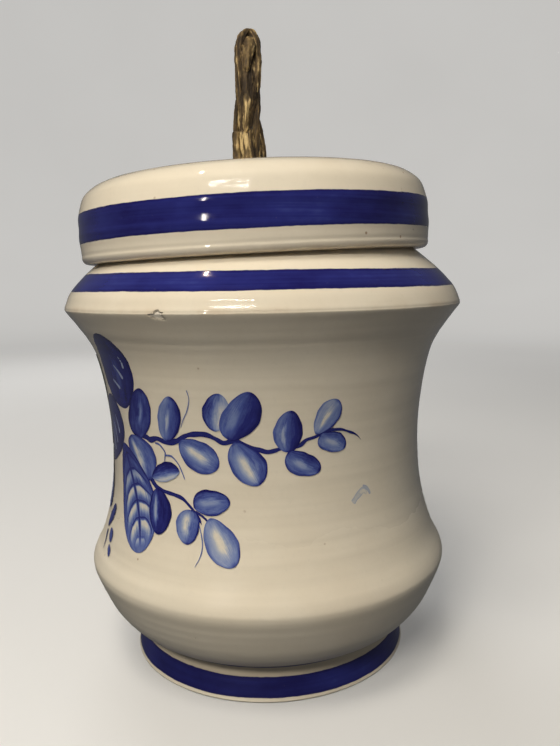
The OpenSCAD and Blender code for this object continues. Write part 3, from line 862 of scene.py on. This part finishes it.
def handle_mesh():
    """The cast branch, with the shoots that wind along it."""
    count = 430
    s = np.linspace(0, SPAN, count)
    path = np.array([arch_point(t) for t in s])
    _, inward, sideways = frames(path, (0, 1, 0))
    # knots: mm along the branch, angle round it, height and width
    knots = [(18, 2.0, 1.3, 3.2), (41, 5.2, 1.1, 3.4), (66, 0.6, 1.0, 3.2), (88, 3.6, 0.9, 3.0),
             (129, 2.2, 0.8, 3.0)]

    def core(i, ang):
        t = s[i]
        near = min(t, SPAN - t)
        twist = 0.5 * math.sin(t / 29) + 0.2 * math.sin(t / 11)
        r = 3.65 + 0.36 * np.cos(3 * (ang - twist)) + 0.22 * np.cos(2 * (ang + 1.3 * twist) + t / 18)
        r = r + 0.3 * math.sin(t / 6.1) * np.cos(ang - t / 15)
        r = r - 0.35 * math.exp(-((t - 0.5 * SPAN) / 22) ** 2)
        for tk, ak, hk, wk in knots:
            g = np.exp(-(((t - tk) / wk) ** 2) - ((np.angle(np.exp(1j * (ang - ak))) * 4.2 / wk) ** 2))
            r = r + hk * g - 0.9 * hk * g ** 7
        around = [(math.cos(a - twist), math.sin(a - twist)) for a in ang]
        bark = np.array([fbm((c * 1.7, d * 1.7, t * 0.16), 0.58) for c, d in around])
        split = np.array([abs(noise.noise(Vector((c * 3.1, d * 3.1, t * 0.1 + 9)))) for c, d in around])
        groove = np.maximum(0.11 - split, 0) * 7
        foot = 1.5 * math.exp(-(near / 2.2) ** 1.4)
        roots = 1 + 0.4 * np.sin(4 * ang + t * 0.3) + 0.25 * np.sin(7 * ang + 2)
        r = r + 0.7 * bark - 0.75 * groove + foot * roots
        # partly rubbed wear, partly painted highlight: the outward face of the branch is brightened, and on
        # the near leg that is the face towards the camera
        rub_and_highlight = np.clip(-np.cos(ang - 0.25 * math.sin(t / 8)), 0, 1) ** 2 * (0.3 + 0.22 * math.sin(t / 5.3))
        mark = np.clip(0.38 + 0.75 * bark - 0.9 * groove + rub_and_highlight, 0, 1)
        return r, mark

    parts = [tube(path, core, 76)]

    def strand(points, r0, r1, blunt=(0.25, 0.12), ribs=0.0, worn=0.0):
        """A shoot on the branch.

        points are mm along the branch, degrees round it (180 is outward) and mm off its middle.
        r0 and r1 are its radius at both ends, and blunt says how much of that its very ends keep.
        """
        line = catmull(points, 14)
        q = np.clip(line[:, 0] / SPAN * (count - 1), 0, count - 1.001)
        i = q.astype(int)
        f = (q - i)[:, None]
        a = np.radians(line[:, 1])
        mid = path[i] * (1 - f) + path[i + 1] * f
        off = inward[i] * np.cos(a)[:, None] + sideways[i] * np.sin(a)[:, None]
        pts = mid + off * line[:, 2][:, None]
        u = np.concatenate([[0], np.cumsum(np.linalg.norm(np.diff(pts, axis=0), axis=1))])
        run = u[-1]
        u = u / run
        key = points[0][0] * 0.37

        def rad(j, ang):
            r = (r0 + (r1 - r0) * u[j]) * min(1, blunt[0] + 9 * u[j], blunt[1] + 7 * (1 - u[j]))
            b = np.array([fbm((math.cos(w) * 1.5 + key, math.sin(w) * 1.5, u[j] * run * 0.16), 0.6)
                          for w in ang])
            rib = ribs * np.cos(7 * ang + u[j] * run * 0.25)
            return r * (1 + 0.22 * b) + rib * 0.5 + 0.05, np.clip(0.42 + worn + 0.6 * b + 0.9 * rib, 0, 1)

        parts.append(tube(pts, rad, 24, up=(0.02, 1, 0.03)))

    top = SPAN - LEG - 25
    # a shoot that hoods over the top of the +X leg, and the bright one under it that ends in a point
    strand([(146, -62, 2.6), (134, -76, 3.1), (122, -90, 3.6), (112, -104, 4), (103, -135, 4.4),
            (98, -172, 4.6), (98, -205, 4.5), (103, -236, 4.2), (112, -258, 3.6), (123, -276, 2.8),
            (134, -290, 2)], 1.6, 1.9, ribs=0.34, worn=0.12)
    strand([(top - 1, -192, 4.4), (top + 2, -190, 4.7), (top + 6, -182, 4.7), (top + 10, -172, 4.2),
            (top + 13, -168, 3.2)], 2.7, 1.1, blunt=(0.75, 0.1), worn=0.45)
    strand([(SPAN, 96, 3), (150, 92, 3.2), (140, 96, 3.5), (129, 88, 3.6), (118, 78, 3), (108, 66, 2.2)],
           1.6, 1.2)
    strand([(126, -86, 3.9), (132, -88, 4.6), (139, -85, 4.8), (147, -84, 4.5), (SPAN, -86, 4.2)], 0.8, 1.1)
    strand([(SPAN, -88, 3.9), (152, -86, 4.1), (SPAN - 14, -84, 4.3)], 2.1, 1.8, blunt=(1, 0.92), worn=0.05)
    # the knotted, rubbed lump where the +X leg meets the lid
    strand([(SPAN, -176, 3.2), (SPAN - 4, -182, 3.6), (SPAN - 8, -178, 3.4), (SPAN - 14, -174, 2.4)],
           2.6, 1.2, blunt=(1, 0.1), ribs=0.2, worn=0.4)
    strand([(SPAN - 13, -170, 3.3), (SPAN - 20, -174, 3.7), (SPAN - 27, -168, 3.4), (SPAN - 34, -160, 2.4)],
           1.1, 0.9, blunt=(0.2, 0.1), worn=0.45)
    # the far leg and the back of the arch
    strand([(0, 84, 3.9), (10, 88, 4.1), (22, 110, 4.3), (34, 150, 4.5), (46, 190, 4.5), (58, 226, 4.3),
            (70, 250, 3.6), (80, 268, 2.6)], 1.9, 1.5, ribs=0.2)
    strand([(4, -84, 4), (15, -92, 4.2), (27, -80, 4.1), (39, -62, 3.8), (50, -40, 3)], 1.6, 0.9)
    strand([(60, 20, 3.2), (70, -8, 3.9), (80, -30, 4), (92, -52, 3.7), (104, -70, 2.9)], 1.3, 1)
    strand([(48, 176, 3), (56, 172, 4.4), (62, 168, 7.2)], 2, 1.6, blunt=(0.5, 0.92))
    strand([(0, 120, 4), (5, 118, 4.4), (10, 116, 4.8)], 2, 1.7, blunt=(1, 0.92))
    strand([(SPAN, 150, 3.6), (154, 156, 3.9), (148, 162, 3.9), (140, 166, 3)], 1.8, 0.9, blunt=(1, 0.1))

    verts, faces, relief_and_highlight, base = [], [], [], 0
    for v, f, m in parts:
        verts.append(v)
        faces += [tuple(i + base for i in q) for q in f]
        relief_and_highlight.append(m)
        base += len(v)
    verts = np.vstack(verts)
    verts[:, 2] = np.maximum(verts[:, 2], PAD_Z)
    return mesh_object("twig_handle", seated(verts), faces, "lid",
                       {"relief_and_highlight": np.concatenate(relief_and_highlight)})


def brass_patina():
    """Dark cast brass, rubbed bright where the relief is high and where a painted highlight is marked, with a
    little green in the hollows.
    """
    n = Nodes("brass_patina")
    co = n.coord()
    relief_and_highlight = n.attr("relief_and_highlight")
    blot = n.noise(co, 150, 4, 0.6)
    grit = n.noise(co, 700, 4, 0.65)
    rub_and_highlight = n.noise(n.scaled(co, (1, 1, 0.5)), 90, 2, 0.5)
    h = n.mad(n.sub(grit, 0.5), 0.45, n.mad(n.sub(blot, 0.5), 0.8, relief_and_highlight))
    h = n.mad(n.sub(rub_and_highlight, 0.5), 1.3, n.sub(h, 0.04))
    colour = n.ramp(h, [(0.12, (0.036, 0.025, 0.015)), (0.46, (0.1, 0.066, 0.032)),
                        (0.7, (0.22, 0.15, 0.066)), (0.96, (0.68, 0.5, 0.24))])
    green = n.mul(n.step(n.noise(co, 130, 3, 0.6), 0.56, 0.72), n.step(h, 0.5, 0.25))
    colour = n.mix(n.mul(green, 0.35), colour, (0.1, 0.13, 0.09))
    metal = n.step(h, 0.25, 0.75, 0.05, 0.35)
    rough = n.step(h, 0.25, 0.95, 0.6, 0.33)
    n.put(n.bsdf.inputs["Metallic"], metal)
    n.surface(colour, rough, n.bump(n.mad(grit, 0.6, blot), 0.35, 0.0005))
    return n.mat


handle = handle_mesh()
handle.data.materials.append(brass_patina())
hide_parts("handle")

# ---------------------------------------------------------------- fixings inside the lid


def machined_brass():
    n = Nodes("machined_brass")
    co = n.coord()
    scratch = n.noise(n.scaled(co, (1, 1, 9)), 420, 4, 0.6)
    stain = n.noise(co, 160, 4, 0.6)
    colour = n.ramp(stain, [(0.3, (0.3, 0.2, 0.08)), (0.5, (0.56, 0.41, 0.17)),
                            (0.75, (0.66, 0.5, 0.23))])
    n.bsdf.inputs["Metallic"].default_value = 1
    n.surface(colour, n.step(scratch, 0.3, 0.7, 0.26, 0.46), n.bump(scratch, 0.2, 0.0002))
    return n.mat


def washer_rubber():
    n = Nodes("washer_rubber")
    co = n.coord()
    dust = n.noise(co, 300, 4, 0.7)
    colour = n.ramp(dust, [(0.35, (0.055, 0.02, 0.014)), (0.7, (0.13, 0.06, 0.045))])
    n.surface(colour, n.step(dust, 0.3, 0.7, 0.62, 0.8), n.bump(dust, 0.2, 0.0002))
    return n.mat


brass, rubber = machined_brass(), washer_rubber()
for name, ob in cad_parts.items():
    if name.startswith(("soft_washer", "stud", "washer", "nut")):
        material = rubber if name.startswith("soft") else brass
        if len(ob.material_slots) == 0:
            ob.data.materials.append(material)
        for slot in ob.material_slots:
            slot.material = material

# ---------------------------------------------------------------- floor, light and camera


def floor_material():
    n = Nodes("pale_floor")
    co = n.coord()
    tint = n.ramp(n.noise(co, 2, 3, 0.5), [(0.3, (0.63, 0.62, 0.6)), (0.7, (0.65, 0.64, 0.62))])
    n.put(n.bsdf.inputs["Base Color"], tint)
    n.bsdf.inputs["Roughness"].default_value = 0.75
    # a weak glow keeps the far wall pale without another lamp
    x, y, _ = n.xyz(co)
    away = n.math("SQRT", n.add(n.mul(x, x), n.mul(y, y)))
    n.put(n.bsdf.inputs["Emission Color"], tint)
    n.put(n.bsdf.inputs["Emission Strength"], n.step(away, 0.5, 2.2, 0.2, 0.72))
    return n.mat


def studio_dish():
    """Floor that curves up into a wall all round, so that every view has a plain pale ground."""
    curve = [(1.6 + 1.4 * math.sin(a), 1.4 - 1.4 * math.cos(a)) for a in np.linspace(0, math.pi / 2, 13)]
    line = [(0.4, 0.0), (0.9, 0.0)] + curve + [(3.0, 5.0)]
    cols = 96
    verts = [(r * math.cos(2 * math.pi * j / cols), r * math.sin(2 * math.pi * j / cols), z)
             for r, z in line for j in range(cols)] + [(0, 0, 0)]
    me = bpy.data.meshes.new("studio_floor")
    me.from_pydata(verts, [], [tuple(reversed(f)) for f in turned(len(line), cols, True)])
    me.polygons.foreach_set("use_smooth", [True] * len(me.polygons))
    ob = bpy.data.objects.new("studio_floor", me)
    bpy.context.scene.collection.objects.link(ob)
    me.materials.append(floor_material())
    # the jar is lit by the lamps alone, so that the pale floor doesn't wash out its shaded side
    ob.visible_diffuse = False
    ob.visible_glossy = False
    ob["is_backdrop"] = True


studio_dish()

WARM = (1.0, 0.94, 0.84)
LID_EDGE = (0, 0, 0.18)            # near the lid's lower edge, in metres


def aimed(azimuth, elevation, distance):
    """A place so many metres from the lid's lower edge, in degrees round from +X and degrees up."""
    a, e = math.radians(azimuth), math.radians(elevation)
    flat = distance * math.cos(e)
    return (flat * math.cos(a), flat * math.sin(a), LID_EDGE[2] + distance * math.sin(e))


def softbox(name, place, target, size_x, size_y, power, colour=(1, 1, 1), glint=False):
    """An area lamp. A broad one lights without a reflection; a glint only makes a highlight."""
    data = bpy.data.lights.new(name, "AREA")
    data.shape = "RECTANGLE"
    data.size, data.size_y = size_x, size_y
    data.energy = power
    data.color = colour
    ob = bpy.data.objects.new(name, data)
    ob.location = place
    ob.rotation_euler = (Vector(target) - Vector(place)).to_track_quat("-Z", "Y").to_euler()
    ob.visible_glossy = glint
    ob.visible_diffuse = not glint
    bpy.context.scene.collection.objects.link(ob)


softbox("top_soft", (0.42, -0.2, 0.95), (0, 0, 0.1), 0.34, 0.34, 4.8, WARM)
softbox("back_soft", (-1.0, -0.4, 0.9), (0, 0, 0.13), 0.8, 0.8, 6.5)
softbox("fill_soft", (0.7, 1.4, 0.8), (0, 0, 0.13), 0.9, 0.9, 1.0, (0.95, 0.97, 1.0))
softbox("front_soft", aimed(-20, 33, 1.1), (0, 0, 0.14), 0.4, 0.16, 6.6, (1.0, 0.95, 0.86))
softbox("key_lamp", aimed(-29.5, 16, 1.0), LID_EDGE, 0.018, 0.2, 0.8, WARM, glint=True)
softbox("window", aimed(-17, 38, 1.0), LID_EDGE, 0.36, 0.006, 0.55, (1.0, 0.96, 0.9), glint=True)
softbox("ceiling_lamp", (0.02, -0.27, 0.93), LID_EDGE, 0.02, 0.02, 0.35, (1.0, 0.74, 0.55), glint=True)

world = bpy.data.worlds.new("studio_world")
world.use_nodes = True
world.node_tree.nodes["Background"].inputs[0].default_value = (0.8, 0.81, 0.83, 1)
world.node_tree.nodes["Background"].inputs[1].default_value = 0.12
bpy.context.scene.world = world
bpy.context.scene.view_settings.view_transform = "Standard"

# the photo's angle: close by on the +X side, between the shoulder and the lid, looking a little down
PITCH, YAW, ROLL = 7.704, -1.246, 1.075    # degrees down, round the vertical and tipped
CAMERA_AT = (0.3287, 0.0, 0.1734)
cam_data = bpy.data.cameras.new("camera")
cam_data.sensor_fit = "HORIZONTAL"
cam_data.sensor_width = 36.0
cam_data.lens = 44.36
cam_data.clip_start = 0.01
cam = bpy.data.objects.new("camera", cam_data)
bpy.context.scene.collection.objects.link(cam)
pitch, yaw, roll = (math.radians(a) for a in (PITCH, YAW, ROLL))
turn = Matrix.Rotation(yaw, 3, "Z") @ Matrix.Rotation(-pitch, 3, "X") @ Matrix.Rotation(roll, 3, "Y")
# the turn is written for a camera looking along +Y; this one looks along -X
turn = Matrix(((0, -1, 0), (1, 0, 0), (0, 0, 1))) @ turn
right, ahead, up = (Vector([turn[r][c] for r in range(3)]) for c in range(3))
look = Matrix((right, up, -ahead)).transposed().to_4x4()
cam.matrix_world = Matrix.Translation(CAMERA_AT) @ look
bpy.context.scene.camera = cam

bpy.context.view_layer.update()
{"cad": cad_box, "visual": as_lists(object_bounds())}
